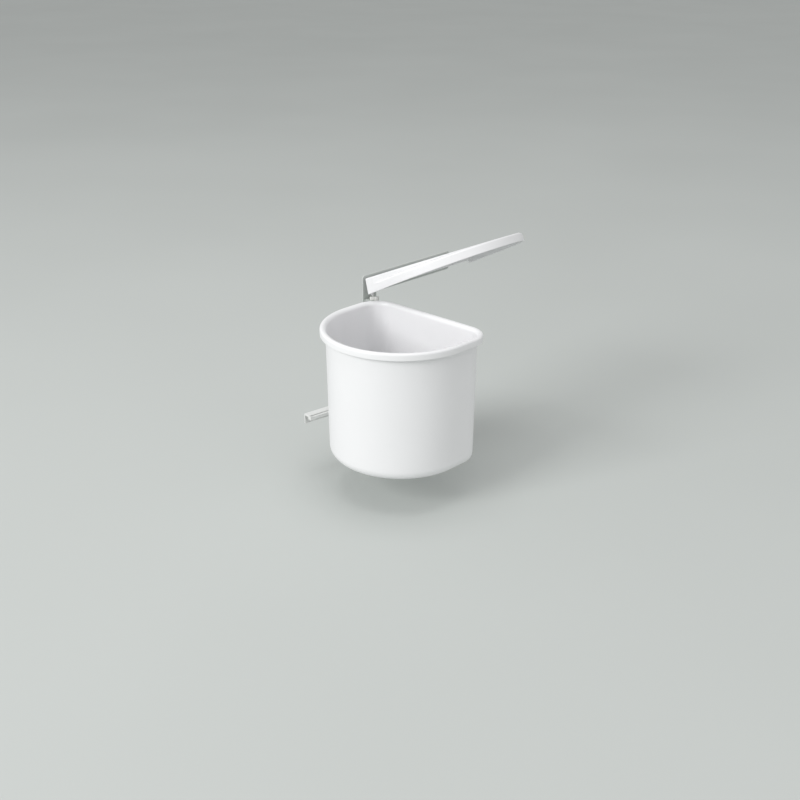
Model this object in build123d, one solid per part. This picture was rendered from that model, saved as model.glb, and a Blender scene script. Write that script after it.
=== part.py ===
"""White swing-out waste bin for a cupboard with a hinged door.

A steel bracket on the cupboard's side wall carries an upright pivot, a D-shaped bucket on a hanger
that swings about it, and a lid that a cam on the pivot lifts. A grooved rail on the door drives the
hanger through a sliding shoe. The part is drawn swung out, as it stands with the door open.

X = 0 is the side wall and X grows into the cupboard's width, Y grows into its depth, Z is up.
The origin is midway between the two top screws, on the wall.
"""
from build123d import *
import os
from math import atan2, cos, degrees, radians, sin, sqrt, tan

# Bracket on the wall
system_row = 37.0            # screws behind the cupboard's front edge
top_screw_span = 192.0
leg_screw_span = 128.0
leg_screw_drop = 64.0        # first leg screw under the top screws
leg_screw_setback = 15.0     # leg screws behind the system row, clear of the pivot tube
screw_hole_r = 2.6
plate_t = 2.5
plate_front = 24.0           # plate's front edge behind the cupboard's front edge
plate_length = 234.0
band_height = 36.0
leg_width = 34.0
leg_foot = 12.0              # leg below the lower arm
plate_corner_r = 5.0

# Bucket
bucket_width = 276.0
bucket_height = 236.0
straight_depth = 81.5        # flat back to the centre of the round front
rim_corner_r = 44.5
rim_drop = 25.0              # rim's top under the top screws
lip_overhang = 9.5           # rim's outer edge beyond the body's wall
lip_height = 12.5
lip_edge_r = 4.0
wall_t = 2.0
rim_inner_r = 7.0            # rounding from the rim's top into the inside
draft_deg = 0.7
foot_r = 19.0
foot_dish = 2.0              # hollow under the bottom
foot_dish_inset = 34.0

# Pivot
pivot_x = 19.2
pivot_setback = 40.4         # behind the cupboard's front edge
pivot_room = 5.9             # pivot's axis to the rim's edge
corner_bearing = -43.0       # from the pivot to the centre of the rim's corner
pin_r = 3.0
running_gap = 0.05           # on the radius of a shaft in its bore
fit_gap = 0.02               # on the radius of a pin that stays put
face_gap = 0.3               # between faces that move past each other
tube_r = 5.3
arm_t = 3.0
arm_top_drop = 1.5           # upper arm's top under the rim's top
arm_root_front = 3.0         # arm's foot behind the plate's front edge
arm_root_length = 27.0
lower_arm_drop = 194.0       # lower arm's top under the rim's top
lower_boss_r = 9.0
arm_foot_height = 14.0
arm_foot_t = 2.0
bush_wall = 1.2
flange_t = 1.0
flange_r = 5.2
pin_tail = 6.5               # pin below the lower arm
clip_r = 6.0
clip_t = 1.0
clip_groove = 0.8
clip_grip = 0.8              # mouth's width as a share of the groove's
roll_pin_r = 1.0
roll_pin_drop = 8.0          # under the tube's top
cam_cover = 2.0              # pin's top over the rim's top, inside the cam

# Cam and lid lift
swing_deg = 90.0
lid_tilt_deg = 27.0
hinge_x = 7.5
hinge_rise = 18.0            # lid's axis over the rim's top
cam_r = 11.5
follower_radius = 6.5        # follower to the pivot's axis
follower_bearing = -100.0
follower_rise = 6.0          # follower's tip over the rim's top, lid open
pad_r = 1.25
cam_gap = 0.5                # tip over the cam, and cam beside the rim
cam_from_deg = 119.0         # the cam's wide part, round the pivot
cam_span_deg = 161.0
pad_length = 9.0
pad_stick = 2.6              # tip below the lug

# Lid
lid_wall = 2.0
lid_near_margin = 9.8        # lid's outer side before the rim's near side, bin swung in
lid_far_margin = 3.4
lid_front_margin = 4.2
lid_gap = 8.3                # skirt's lower edge over the rim's top, lid shut
skirt_height = 15.0
lid_back_x = 9.6             # lower edge of the lid's back face, lid shut
lid_back_lean = 6.1          # its upper edge stands this much farther out
lid_back_height = 28.8
lid_corner_r = 6.0
lid_edge_r = 2.6
crown_inset = 4.0            # raised top inside the skirt's edge
crown_root = 6.0             # raised top starts this far below the tray's top
end_block = 34.0             # full-width part of the raised top beside the wall
back_wall_clear = 13.5       # back wall's lower edge over the rim's top
lug_wall = 1.0               # round the follower
rib_t = 1.6
rib_count = 4
rib_clear = 15.5             # ribs' lower edge over the rim's top
barrel_r = 3.0
barrel_length = 11.4
ear_gap = 0.3
ear_t = 2.0
ear_r = 3.4
hinge_pin_r = 1.5
hinge_head_r = 2.3
hinge_head_t = 0.8
bracket_base_t = 1.5
bracket_height = 11.0
front_hinge_y = 65.0         # behind the cupboard's front edge
rear_hinge_margin = 12.0     # to the plate's inner end

# Hanger
hanger_t = 2.0
hanger_back_gap = 2.4        # hanger's face behind the body's wall at the rim
hanger_tuck = 0.3            # under the rim's top web
hanger_side = 14.0           # tongue's ends inside the straight back
hanger_bar_height = 58.0     # bar's lower edge under the rim's top
hanger_lip_gap = 1.0         # bar's top under the rim's lower edge
weld_lap = 5.0               # tongue and stem run this far into the bar
stem_width = 46.0
stem_drop = 190.0
pad_height = 26.0
pad_width = 34.0
pad_over_foot = 3.0          # pad's lower edge over the stem's end
pad_corner_r = 5.0
bead_half = 4.0              # pressed stiffening bead of the hanger
bead_depth = 1.6
bead_from_pivot = 26.0
bead_to_end = 12.0
bead_over_foot = 14.0

# Driver arm, shoe and door rail
driver_x = 9.1
driver_reach = 50.0          # driver pin before the cupboard's front edge
driver_t = 4.0
driver_width = 12.0
driver_hub_wall = 2.5
driver_pin_r = 2.0
driver_head_r = 3.6
driver_head_t = 1.5
rail_drop = 189.0            # rail's top under the rim's top
arm_over_rail = 6.0
pin_end_gap = 1.6            # driver pin's end over the rail's top
shoe_r = 5.2
shoe_length = 16.0
shoe_side_gap = 0.3
shoe_nose_r = 1.0
rail_lean_deg = 6.5          # door stands open this much past square
rail_length = 90.0
rail_outer = 63.4            # driver pin to the rail's outer end
rail_face_to_groove = 16.3   # door's face to the groove's middle
groove_w = 4.2
groove_depth = 5.0
rail_wall = 2.5
shelf_t = 3.0
channel_wall = 2.0
flange_height = 19.0
rail_hole_span = 64.0
rail_hole_r = 2.25
rail_hole_drop = 12.0
cap_t = 1.5
rail_lip_r = 1.1

# Working values of cuts and roundings
over = 1.0                   # cutters run this far past a face
far = 400.0                  # cutters larger than the part
least_r = 0.4                # smallest rounding that a wall leaves
same_height = 0.01

# Places worked out from the sizes
front_y = -(top_screw_span / 2 + system_row)
rim_z = -rim_drop
pivot_y = front_y + pivot_setback
half_width = bucket_width / 2
corner_reach = rim_corner_r + pivot_room
corner_x = pivot_x + corner_reach * cos(radians(corner_bearing))
corner_y = pivot_y + corner_reach * sin(radians(corner_bearing))
bucket_left = corner_x - rim_corner_r
bucket_back = corner_y + rim_corner_r
bucket_cx = bucket_left + half_width
bucket_cy = bucket_back - straight_depth
hinge_z = rim_z + hinge_rise
plate_front_y = front_y + plate_front
pivot_axis = Axis((pivot_x, pivot_y, 0), (0, 0, 1))
hinge_axis = Axis((hinge_x, 0, hinge_z), (0, 1, 0))
leg_screw_y = front_y + system_row + leg_screw_setback
bush_r = pin_r + running_gap + bush_wall
upper_arm_low = rim_z - arm_top_drop - arm_t
lower_arm_low = rim_z - lower_arm_drop - arm_t
cam_low = upper_arm_low + arm_t + flange_t + face_gap
tube_top = upper_arm_low - flange_t - face_gap
tube_low = lower_arm_low + arm_t + flange_t + face_gap
clip_low = lower_arm_low - face_gap - clip_t
pin_low = lower_arm_low - pin_tail
pin_top = rim_z + cam_cover
roll_pin_z = tube_top - roll_pin_drop
hanger_y = bucket_back - lip_overhang + hanger_back_gap
hinge_ys = (front_y + front_hinge_y, plate_front_y + plate_length - rear_hinge_margin)

# The lid when shut, round the rim of the bin swung in
rim_near_y = pivot_y + bucket_left - pivot_x
rim_front_x = pivot_x + pivot_y - (bucket_cy - half_width)
lid_near_y = rim_near_y - lid_near_margin
lid_far_y = rim_near_y + bucket_width + lid_far_margin
lid_front_x = rim_front_x + lid_front_margin
lid_half = (lid_far_y - lid_near_y) / 2
lid_mid_y = (lid_far_y + lid_near_y) / 2
lid_round_x = lid_front_x - lid_half
lid_low = rim_z + lid_gap
knuckle_root_x = lid_back_x + (hinge_z - lid_low) * lid_back_lean / lid_back_height + lid_wall

# The door rail, in its own frame along the door: origin at the driver pin on the rail's top
driver_y = front_y - driver_reach
rail_z = rim_z - rail_drop
pin_end_z = rail_z + pin_end_gap
rail_outer_y = -rail_outer
rail_inner_y = rail_length - rail_outer
rail_frame = Pos(driver_x, driver_y, rail_z) * Rot(0, 0, -rail_lean_deg)

# The follower's tip when the lid is shut
follower_open = (pivot_x + follower_radius * cos(radians(follower_bearing)),
                 pivot_y + follower_radius * sin(radians(follower_bearing)), rim_z + follower_rise)
follower_shut = Vertex(*follower_open).rotate(hinge_axis, lid_tilt_deg).center()

# The lid's lug round the follower, clear of the rim's corner when the bucket is lifted beside the open lid
lug_low = follower_shut.Z + pad_stick
lug_front_x = follower_shut.X + pad_r + lug_wall
lug_back_y = follower_shut.Y + pad_r + lug_wall
lug_toe_x = Vertex(lug_front_x, lug_back_y, lug_low).rotate(hinge_axis, -lid_tilt_deg).center().X
lug_near_y = corner_y + sqrt((rim_corner_r + cam_gap) ** 2 - (corner_x - lug_toe_x) ** 2)


def named(shape, name):
    """Write one sub-part to its own file."""
    shape.label = name
    export_step(shape, os.path.join("parts", name + ".step"))
    return shape


def box(x0, x1, y0, y1, z0, z1):
    """A block between two corners."""
    size = (abs(x1 - x0), abs(y1 - y0), abs(z1 - z0))
    return Pos((x0 + x1) / 2, (y0 + y1) / 2, (z0 + z1) / 2) * Box(*size)


def rod(x, y, z0, z1, r):
    """An upright round bar."""
    return Pos(x, y, (z0 + z1) / 2) * Cylinder(r, abs(z1 - z0))


def rod_along_y(x, z, y0, y1, r):
    """A round bar parallel to the lid's axis."""
    return Pos(x, (y0 + y1) / 2, z) * Rot(90, 0, 0) * Cylinder(r, abs(y1 - y0))


def hole_through_plate(y, z, r):
    """A drill for the sheet on the wall."""
    return Pos(plate_t / 2, y, z) * Rot(0, 90, 0) * Cylinder(r, plate_t * 3)


def d_face(inset, z):
    """The bucket's D at a height, moved in by inset: round front, straight sides, round back corners."""
    r = half_width - inset
    c = max(rim_corner_r - inset, least_r)
    back = straight_depth - inset
    side = back - c
    outline = [
        ThreePointArc((-r, 0), (0, -r), (r, 0)),
        Line((r, 0), (r, side)),
        RadiusArc((r, side), (r - c, back), -c),
        Line((r - c, back), (c - r, back)),
        RadiusArc((c - r, back), (-r, side), -c),
        Line((-r, side), (-r, 0)),
    ]
    return Pos(bucket_cx, bucket_cy, z) * make_face(outline)


def d_block(inset_low, z_low, inset_high, z_high):
    """A solid between two D outlines."""
    return loft([Sketch() + d_face(inset_low, z_low), Sketch() + d_face(inset_high, z_high)], ruled=True)


def make_bucket():
    """One moulding: drafted body, round foot, turned-down rim with an open channel under it."""
    slope = tan(radians(draft_deg))
    foot_z = rim_z - bucket_height
    body = d_block(lip_overhang + bucket_height * slope, foot_z, lip_overhang, rim_z)
    body = fillet(body.faces().sort_by(Axis.Z)[0].edges(), foot_r)
    lip = extrude(d_face(0, rim_z - lip_height), lip_height)
    lip = fillet(lip.faces().sort_by(Axis.Z)[-1].edges(), lip_edge_r)
    channel = extrude(d_face(wall_t, rim_z - lip_height), lip_height - wall_t)
    channel = fillet(channel.faces().sort_by(Axis.Z)[-1].edges(), max(lip_edge_r - wall_t, least_r))
    inset = lip_overhang + wall_t
    inner_height = bucket_height - wall_t
    inside = d_block(inset + inner_height * slope, foot_z + wall_t, inset, rim_z)
    inside = fillet(inside.faces().sort_by(Axis.Z)[0].edges(), foot_r - wall_t)
    shell = body + (lip - channel) - inside
    top_edges = shell.edges().filter_by(lambda e: abs(e.center().Z - rim_z) < same_height)
    web_middle = (inset + lip_edge_r) / 2
    inner_edges = [e for e in top_edges if lies_inside(e, web_middle)]
    shell = fillet(inner_edges, min(rim_inner_r, inset - lip_edge_r - least_r))
    dish = extrude(d_face(foot_dish_inset, foot_z), foot_dish)
    boss = extrude(d_face(foot_dish_inset - wall_t, foot_z + wall_t), foot_dish)
    return shell + boss - dish


def lies_inside(edge, inset):
    """True for an edge that lies more than inset inside the rim's outline."""
    point = edge @ 0.5
    dx, dy = abs(point.X - bucket_cx), point.Y - bucket_cy
    reach = sqrt(dx * dx + dy * dy) if dy < 0 else dx
    return reach < half_width - inset and dy < straight_depth - inset


def make_wall_plate():
    """Sheet steel: a band behind the lid and a leg down to the lower arm."""
    top = band_height / 2
    leg_low = rim_z - lower_arm_drop - arm_t - leg_foot
    band = box(0, plate_t, plate_front_y, plate_front_y + plate_length, -top, top)
    band = fillet(band.edges().filter_by(Axis.X), plate_corner_r)
    leg = box(0, plate_t, plate_front_y, plate_front_y + leg_width, leg_low, 0)
    leg = fillet(leg.edges().filter_by(Axis.X).group_by(Axis.Z)[0], plate_corner_r)
    plate = band + leg
    for y in (-top_screw_span / 2, top_screw_span / 2):
        plate -= hole_through_plate(y, 0, screw_hole_r)
    for k in (0, 1):
        plate -= hole_through_plate(leg_screw_y, -leg_screw_drop - k * leg_screw_span, screw_hole_r)
    return plate


def make_arm(top_z, boss_r):
    """A bent steel arm: a foot on the plate and a flat tongue that ends round the pivot."""
    root_y = plate_front_y + arm_root_front
    face_x = plate_t + arm_foot_t
    boss = CenterArc((pivot_x, pivot_y, top_z - arm_t), boss_r, 0, 360)
    root = Line((plate_t, root_y, top_z - arm_t), (plate_t, root_y + arm_root_length, top_z - arm_t))
    tongue = extrude(make_hull([boss, root]), arm_t)
    foot = box(plate_t, face_x, root_y, root_y + arm_root_length, top_z - arm_foot_height, top_z)
    return tongue + foot - rod(pivot_x, pivot_y, top_z - arm_t - over, top_z + over, bush_r)


def make_bush(sleeve_low, sleeve_high, flange_low):
    """A plain acetal bush with one flange."""
    bush = rod(pivot_x, pivot_y, sleeve_low, sleeve_high, bush_r)
    bush += rod(pivot_x, pivot_y, flange_low, flange_low + flange_t, flange_r)
    low, high = min(sleeve_low, flange_low), max(sleeve_high, flange_low + flange_t)
    return bush - rod(pivot_x, pivot_y, low - over, high + over, pin_r + running_gap)


def roll_pin_drill():
    """A drill across the tube and the pin."""
    return rod_along_y(pivot_x, roll_pin_z, pivot_y - 2 * tube_r, pivot_y + 2 * tube_r, roll_pin_r)


def make_pivot_pin():
    """The steel pin, with its clip's groove and the hole of the roll pin."""
    pin = rod(pivot_x, pivot_y, pin_low, pin_top, pin_r)
    groove = rod(pivot_x, pivot_y, clip_low, clip_low + clip_t, pin_r + over)
    groove -= rod(pivot_x, pivot_y, clip_low, clip_low + clip_t, pin_r - clip_groove)
    return pin - groove - roll_pin_drill()


def make_clip():
    """An open spring clip in the pin's groove."""
    clip = rod(pivot_x, pivot_y, clip_low, clip_low + clip_t, clip_r)
    low, high = clip_low - over, clip_low + clip_t + over
    clip -= rod(pivot_x, pivot_y, low, high, pin_r - clip_groove)
    mouth = (pin_r - clip_groove) * clip_grip
    return clip - box(pivot_x - clip_r - over, pivot_x, pivot_y - mouth, pivot_y + mouth, low, high)


def make_pivot_tube():
    """The hanger's tube round the pin."""
    tube = rod(pivot_x, pivot_y, tube_low, tube_top, tube_r)
    tube -= rod(pivot_x, pivot_y, tube_low - over, tube_top + over, pin_r + fit_gap)
    return tube - roll_pin_drill()


def follower_point(share):
    """The lid's follower tip, seen from the hanger, when the bin has swung this share of the way in."""
    tip = Vertex(*follower_open).rotate(hinge_axis, lid_tilt_deg * share)
    return tip.rotate(pivot_axis, -swing_deg * share).center()


def make_cam():
    """A disc on top of the pin, cut by one sloping plane, that lifts the lid's follower."""
    start, middle, end = (follower_point(share) for share in (0, 0.5, 1))
    top = Plane(origin=middle, x_dir=end - start, z_dir=(end - middle).cross(start - middle))
    if top.z_dir.Z < 0:
        top = Plane(origin=middle, x_dir=end - start, z_dir=-top.z_dir)
    high = rim_z + follower_rise + cam_r
    blank = rod(pivot_x, pivot_y, cam_low, high, tube_r)
    edge = CenterArc((0, 0), cam_r, cam_from_deg, cam_span_deg)
    wedge = make_face([Line((0, 0), edge @ 0), edge, Line(edge @ 1, (0, 0))])
    blank += extrude(Pos(pivot_x, pivot_y, cam_low) * wedge, high - cam_low)
    blank -= rod(corner_x, corner_y, cam_low - over, high + over, rim_corner_r + cam_gap)
    blank -= top * Pos(0, 0, high - cam_low - cam_gap) * Box(8 * cam_r, 8 * cam_r, 2 * (high - cam_low))
    return blank - rod(pivot_x, pivot_y, cam_low - over, pin_top, pin_r + fit_gap)


def make_hanger():
    """Sheet steel welded to the tube: a bar whose tongue holds the rim, and a stem down the back."""
    y0, y1 = hanger_y, hanger_y + hanger_t
    bar_top = rim_z - lip_height - hanger_lip_gap
    tongue_left = corner_x + hanger_side
    tongue_right = bucket_left + bucket_width - rim_corner_r - hanger_side
    bar_low = rim_z - hanger_bar_height
    plate = box(pivot_x, tongue_right, y0, y1, bar_low, bar_top)
    plate += box(tongue_left, tongue_right, y0, y1, bar_top - weld_lap, rim_z - wall_t - hanger_tuck)
    stem_half = stem_width / 2
    stem_low = rim_z - stem_drop
    plate += box(bucket_cx - stem_half, bucket_cx + stem_half, y0, y1, stem_low, bar_low + weld_lap)
    middle_z = (bar_low + bar_top) / 2
    bead = box(pivot_x + bead_from_pivot, tongue_right - bead_to_end, y1, y1 + bead_depth,
               middle_z - bead_half, middle_z + bead_half)
    bead += box(bucket_cx - bead_half, bucket_cx + bead_half, y1, y1 + bead_depth,
                stem_low + bead_over_foot, middle_z)
    return plate + bead - rod(pivot_x, pivot_y, bar_low - over, bar_top + over, tube_r)


def make_buffer_pad():
    """The rubber pad low on the stem, which keeps the bucket upright."""
    top = rim_z - stem_drop + pad_over_foot + pad_height
    face = hanger_y - hanger_back_gap - (rim_z - top) * tan(radians(draft_deg)) + face_gap
    pad = box(bucket_cx - pad_width / 2, bucket_cx + pad_width / 2, face, hanger_y, top - pad_height, top)
    return fillet(pad.edges().filter_by(Axis.Y), pad_corner_r)


def make_driver_arm():
    """A flat bar from the tube to the driver pin over the rail."""
    low = rail_z + arm_over_rail
    hub = CenterArc((pivot_x, pivot_y, low), tube_r + driver_hub_wall, 0, 360)
    end = CenterArc((driver_x, driver_y, low), driver_width / 2, 0, 360)
    bar = extrude(make_hull([hub, end]), driver_t)
    bar -= rod(pivot_x, pivot_y, low - over, low + driver_t + over, tube_r)
    return bar - rod(driver_x, driver_y, low - over, low + driver_t + over, driver_pin_r + fit_gap)


def make_driver_pin():
    """A headed pin through the end of the arm."""
    low = rail_z + arm_over_rail
    pin = rod(driver_x, driver_y, pin_end_z, low + driver_t, driver_pin_r)
    head = rod(driver_x, driver_y, low + driver_t, low + driver_t + driver_head_t, driver_head_r)
    return pin + fillet(head.edges().sort_by(Axis.Z)[-1], driver_head_t / 3)


def make_shoe():
    """The acetal shoe: a round head on the driver pin and a tongue in the rail's groove."""
    head_low, head_top = rail_z + face_gap, rail_z + arm_over_rail - face_gap
    head = rod(0, 0, head_low - rail_z, head_top - rail_z, shoe_r)
    w = groove_w / 2 - shoe_side_gap
    tongue = box(-w, w, -shoe_length / 2, shoe_length / 2, face_gap - groove_depth, face_gap)
    tongue = fillet(tongue.edges().filter_by(Axis.Z), min(shoe_nose_r, w - least_r))
    bore = rod(0, 0, pin_end_z - face_gap - rail_z, head_top - rail_z + over, driver_pin_r + running_gap)
    return rail_frame * (head + tongue - bore)


def rail_bar(y0, y1):
    """The rail's outer form between two places along it, its groove still full."""
    face = -rail_face_to_groove
    outside = groove_w / 2 + channel_wall
    bar = box(face, face + rail_wall, y0, y1, -flange_height, 0)
    bar += box(face, 0, y0, y1, -shelf_t, 0)
    return bar + box(-outside, outside, y0, y1, -groove_depth - channel_wall, 0)


def make_rail():
    """The moulded rail on the door: a screw flange, a shelf and a grooved lip."""
    bar = rail_bar(rail_outer_y, rail_inner_y)
    lip = [e for e in bar.edges().filter_by(Axis.Y) if e.center().X > groove_w / 2]
    bar = fillet(lip, min(rail_lip_r, channel_wall - least_r))
    bar -= box(-groove_w / 2, groove_w / 2, rail_outer_y - over, rail_inner_y + over, -groove_depth, over)
    middle = (rail_outer_y + rail_inner_y) / 2
    drill = Rot(0, 90, 0) * Cylinder(rail_hole_r, 4 * rail_wall)
    for y in (middle - rail_hole_span / 2, middle + rail_hole_span / 2):
        bar -= Pos(-rail_face_to_groove, y, -rail_hole_drop) * drill
    return rail_frame * bar


def make_rail_cap(y0):
    """A thin cap that closes the rail's end."""
    return rail_frame * rail_bar(y0, y0 + cap_t)


def lid_face(inset, z):
    """The lid's outline when shut, moved in by inset: its straight side stands along the wall."""
    r = lid_half - inset
    c = max(lid_corner_r - inset, least_r)
    back = lid_back_x + inset - lid_round_x
    outline = [
        ThreePointArc((0, -r), (r, 0), (0, r)),
        Line((0, r), (back + c, r)),
        RadiusArc((back + c, r), (back, r - c), -c),
        Line((back, r - c), (back, c - r)),
        RadiusArc((back, c - r), (back + c, -r), -c),
        Line((back + c, -r), (0, -r)),
    ]
    return Pos(lid_round_x, lid_mid_y, z) * make_face(outline)


def lid_form(inset, low, edge_r=0):
    """The lid's form shrunk by inset: a low tray, a raised sloping top and a leaning back."""
    tray_top = lid_low + skirt_height - inset
    tray = extrude(lid_face(inset, low), tray_top - low)
    if edge_r > 0:
        tray = fillet(tray.faces().sort_by(Axis.Z)[-1].edges(), edge_r)
    crown_low = tray_top - crown_root
    high = lid_low + lid_back_height - inset
    crown = extrude(lid_face(inset + crown_inset, crown_low), high - crown_low)
    end_x = lid_back_x + end_block
    crown += box(lid_back_x + inset, end_x - inset, lid_near_y + inset, lid_far_y - inset, crown_low, high)
    drop = lid_back_height - skirt_height
    slope = degrees(atan2(drop, lid_front_x - lid_back_x - lid_back_lean))
    knife = Pos(lid_back_x + lid_back_lean, lid_mid_y, high) * Rot(0, slope, 0)
    crown -= knife * Pos(0, 0, far / 2) * Box(2 * far, 2 * far, far)
    lean = degrees(atan2(lid_back_lean, lid_back_height))
    form = tray + crown
    behind = Pos(-far / 2, 0, 0) * Box(far, 2 * far, 2 * far)
    back = Pos(lid_back_x + inset, lid_mid_y, lid_low) * Rot(0, lean, 0) * behind
    return form - back


def make_lid():
    """One moulding: the shell with its ribs, two hinge knuckles and the lug of the follower."""
    hollow = lid_form(lid_wall, lid_low - over)
    pitch = (lid_far_y - lid_near_y) / (rib_count + 1)
    for k in range(rib_count):
        y = lid_near_y + pitch * (k + 1)
        hollow -= box(-far, far, y - rib_t / 2, y + rib_t / 2, rim_z + rib_clear, far)
    lid = lid_form(0, lid_low, lid_edge_r) - hollow
    clear_z = rim_z + back_wall_clear
    lid -= box(lid_back_x - over, lid_back_x + lid_back_lean + lid_wall, lug_back_y + over,
               lid_far_y - lid_wall - over, lid_low - over, clear_z)
    for y in hinge_ys:
        lid += rod_along_y(hinge_x, hinge_z, y - barrel_length / 2, y + barrel_length / 2, barrel_r)
        lid += box(hinge_x, knuckle_root_x, y - barrel_length / 2, y + barrel_length / 2,
                   hinge_z, hinge_z + barrel_r)
        lid -= rod_along_y(hinge_x, hinge_z, y - barrel_length, y + barrel_length, hinge_pin_r + running_gap)
    lid += box(lid_back_x, lug_front_x, lug_near_y, lug_back_y, lug_low, lid_low + skirt_height - lid_wall)
    lid -= rod(follower_shut.X, follower_shut.Y, follower_shut.Z, follower_shut.Z + pad_length, pad_r)
    return lid.rotate(hinge_axis, -lid_tilt_deg)


def make_lift_pad():
    """The acetal follower pressed into the lug, with a round tip."""
    low = follower_shut.Z
    pad = rod(follower_shut.X, follower_shut.Y, low + pad_r, low + pad_length, pad_r)
    pad += Pos(follower_shut.X, follower_shut.Y, low + pad_r) * Sphere(pad_r)
    return pad.rotate(hinge_axis, -lid_tilt_deg)


def make_hinge_bracket(y):
    """A folded steel bracket: a base on the plate and two ears for the lid's pin."""
    inner = barrel_length / 2 + ear_gap
    outer = inner + ear_t
    base = box(plate_t, plate_t + bracket_base_t, y - outer, y + outer,
               hinge_z - bracket_height / 2, hinge_z + bracket_height / 2)
    ears = rod_along_y(hinge_x, hinge_z, y - outer, y + outer, ear_r)
    ears += box(plate_t, hinge_x, y - outer, y + outer, hinge_z - ear_r, hinge_z + ear_r)
    ears -= box(plate_t + bracket_base_t, hinge_x + 2 * ear_r, y - inner, y + inner,
                hinge_z - 2 * ear_r, hinge_z + 2 * ear_r)
    return base + ears - rod_along_y(hinge_x, hinge_z, y - 2 * outer, y + 2 * outer, hinge_pin_r + fit_gap)


def make_hinge_pin(y):
    """A headed steel pin through one bracket."""
    reach = barrel_length / 2 + ear_gap + ear_t
    pin = rod_along_y(hinge_x, hinge_z, y - reach - hinge_head_t, y + reach + hinge_head_t, hinge_pin_r)
    for y0 in (y - reach - hinge_head_t, y + reach):
        pin += rod_along_y(hinge_x, hinge_z, y0, y0 + hinge_head_t, hinge_head_r)
    return pin


def main():
    """Build and write every sub-part."""
    os.makedirs("parts", exist_ok=True)
    named(make_wall_plate(), "wall_plate")
    named(make_arm(rim_z - arm_top_drop, tube_r), "upper_arm")
    named(make_arm(rim_z - lower_arm_drop, lower_boss_r), "lower_arm")
    named(make_bush(upper_arm_low, upper_arm_low + arm_t, upper_arm_low - flange_t), "upper_bush")
    named(make_bush(lower_arm_low, lower_arm_low + arm_t, lower_arm_low + arm_t), "lower_bush")
    washer = rod(pivot_x, pivot_y, upper_arm_low + arm_t, cam_low - face_gap, flange_r)
    named(washer - rod(pivot_x, pivot_y, upper_arm_low, cam_low, pin_r + running_gap), "cam_washer")
    for name, y in zip(("front", "rear"), hinge_ys):
        named(make_hinge_bracket(y), name + "_hinge_bracket")
        named(make_hinge_pin(y), name + "_hinge_pin")
    named(make_pivot_pin(), "pivot_pin")
    named(make_clip(), "retaining_clip")
    named(make_pivot_tube(), "pivot_tube")
    pin_half = tube_r - face_gap
    named(rod_along_y(pivot_x, roll_pin_z, pivot_y - pin_half, pivot_y + pin_half, roll_pin_r), "roll_pin")
    named(make_cam(), "lift_cam")
    named(make_hanger(), "bucket_hanger")
    named(make_buffer_pad(), "buffer_pad")
    named(make_driver_arm(), "driver_arm")
    named(make_driver_pin(), "driver_pin")
    named(make_bucket(), "bucket")
    named(make_lid(), "lid")
    named(make_lift_pad(), "lift_pad")
    named(make_shoe(), "guide_shoe")
    named(make_rail(), "door_rail")
    named(make_rail_cap(rail_outer_y - cap_t), "rail_outer_cap")
    named(make_rail_cap(rail_inner_y), "rail_inner_cap")


if __name__ == "__main__":
    main()
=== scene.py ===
"""White swing-out waste bin for a cupboard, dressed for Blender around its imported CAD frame.

The file follows the object as it is put together: bucket, lid, the steel that carries them, the
bearings, and the rail on the door. Sizes are millimetres, X from the cupboard's side wall, Y into
its depth, Z up from the top screws, as in the frame. Lamps and the camera are placed in metres.
"""
from math import cos, pi, radians, sin, sqrt, tan

import bmesh
import bpy
import numpy as np
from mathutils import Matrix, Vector


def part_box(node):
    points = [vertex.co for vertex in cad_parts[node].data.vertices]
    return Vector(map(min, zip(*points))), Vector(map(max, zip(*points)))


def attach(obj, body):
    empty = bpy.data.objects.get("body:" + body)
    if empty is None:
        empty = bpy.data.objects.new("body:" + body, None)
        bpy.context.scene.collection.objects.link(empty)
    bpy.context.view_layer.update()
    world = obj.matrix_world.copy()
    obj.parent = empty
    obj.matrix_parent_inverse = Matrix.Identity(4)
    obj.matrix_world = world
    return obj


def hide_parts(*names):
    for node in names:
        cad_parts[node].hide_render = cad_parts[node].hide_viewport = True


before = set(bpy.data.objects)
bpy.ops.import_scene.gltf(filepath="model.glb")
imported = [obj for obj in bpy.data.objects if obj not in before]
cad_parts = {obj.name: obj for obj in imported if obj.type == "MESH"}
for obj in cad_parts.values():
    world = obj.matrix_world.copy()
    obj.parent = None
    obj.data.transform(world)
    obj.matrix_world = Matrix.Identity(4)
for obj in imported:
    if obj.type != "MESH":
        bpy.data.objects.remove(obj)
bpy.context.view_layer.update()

# The picture: a pale matt floor under the hanging bin, a large soft lamp from the front, a weaker
# one from above and a faint one from the right, and a camera that looks down from the front right.
mm = 0.001
merge_reach = 0.002 * mm     # points closer than this are one point
floor_z = -331.0             # 70 mm under the bucket's foot
floor_reach = 60000.0


def linear(hex_colour):
    """sRGB hex to linear: v / 12.92 up to 0.04045, ((v + 0.055) / 1.055) ** 2.4 above it."""
    srgb = np.array([int(hex_colour[k:k + 2], 16) / 255 for k in (1, 3, 5)])
    value = np.where(srgb <= 0.04045, srgb / 12.92, ((srgb + 0.055) / 1.055) ** 2.4)
    return (*map(float, value), 1.0)


def add(tree, kind, settings=None, links=None):
    """Adds a shader node: settings go to its sockets or properties, links feed its sockets."""
    made = tree.nodes.new("ShaderNode" + kind)
    for key, value in (settings or {}).items():
        if isinstance(key, int) or key in made.inputs:
            made.inputs[key].default_value = value
        else:
            setattr(made, key, value)
    for key, source in (links or {}).items():
        tree.links.new(source, made.inputs[key])
    return made


def blank_material(name):
    """A new material with its node tree and its Principled shader."""
    made = bpy.data.materials.new(name)
    made.use_nodes = True
    return made, made.node_tree, made.node_tree.nodes["Principled BSDF"]


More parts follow.
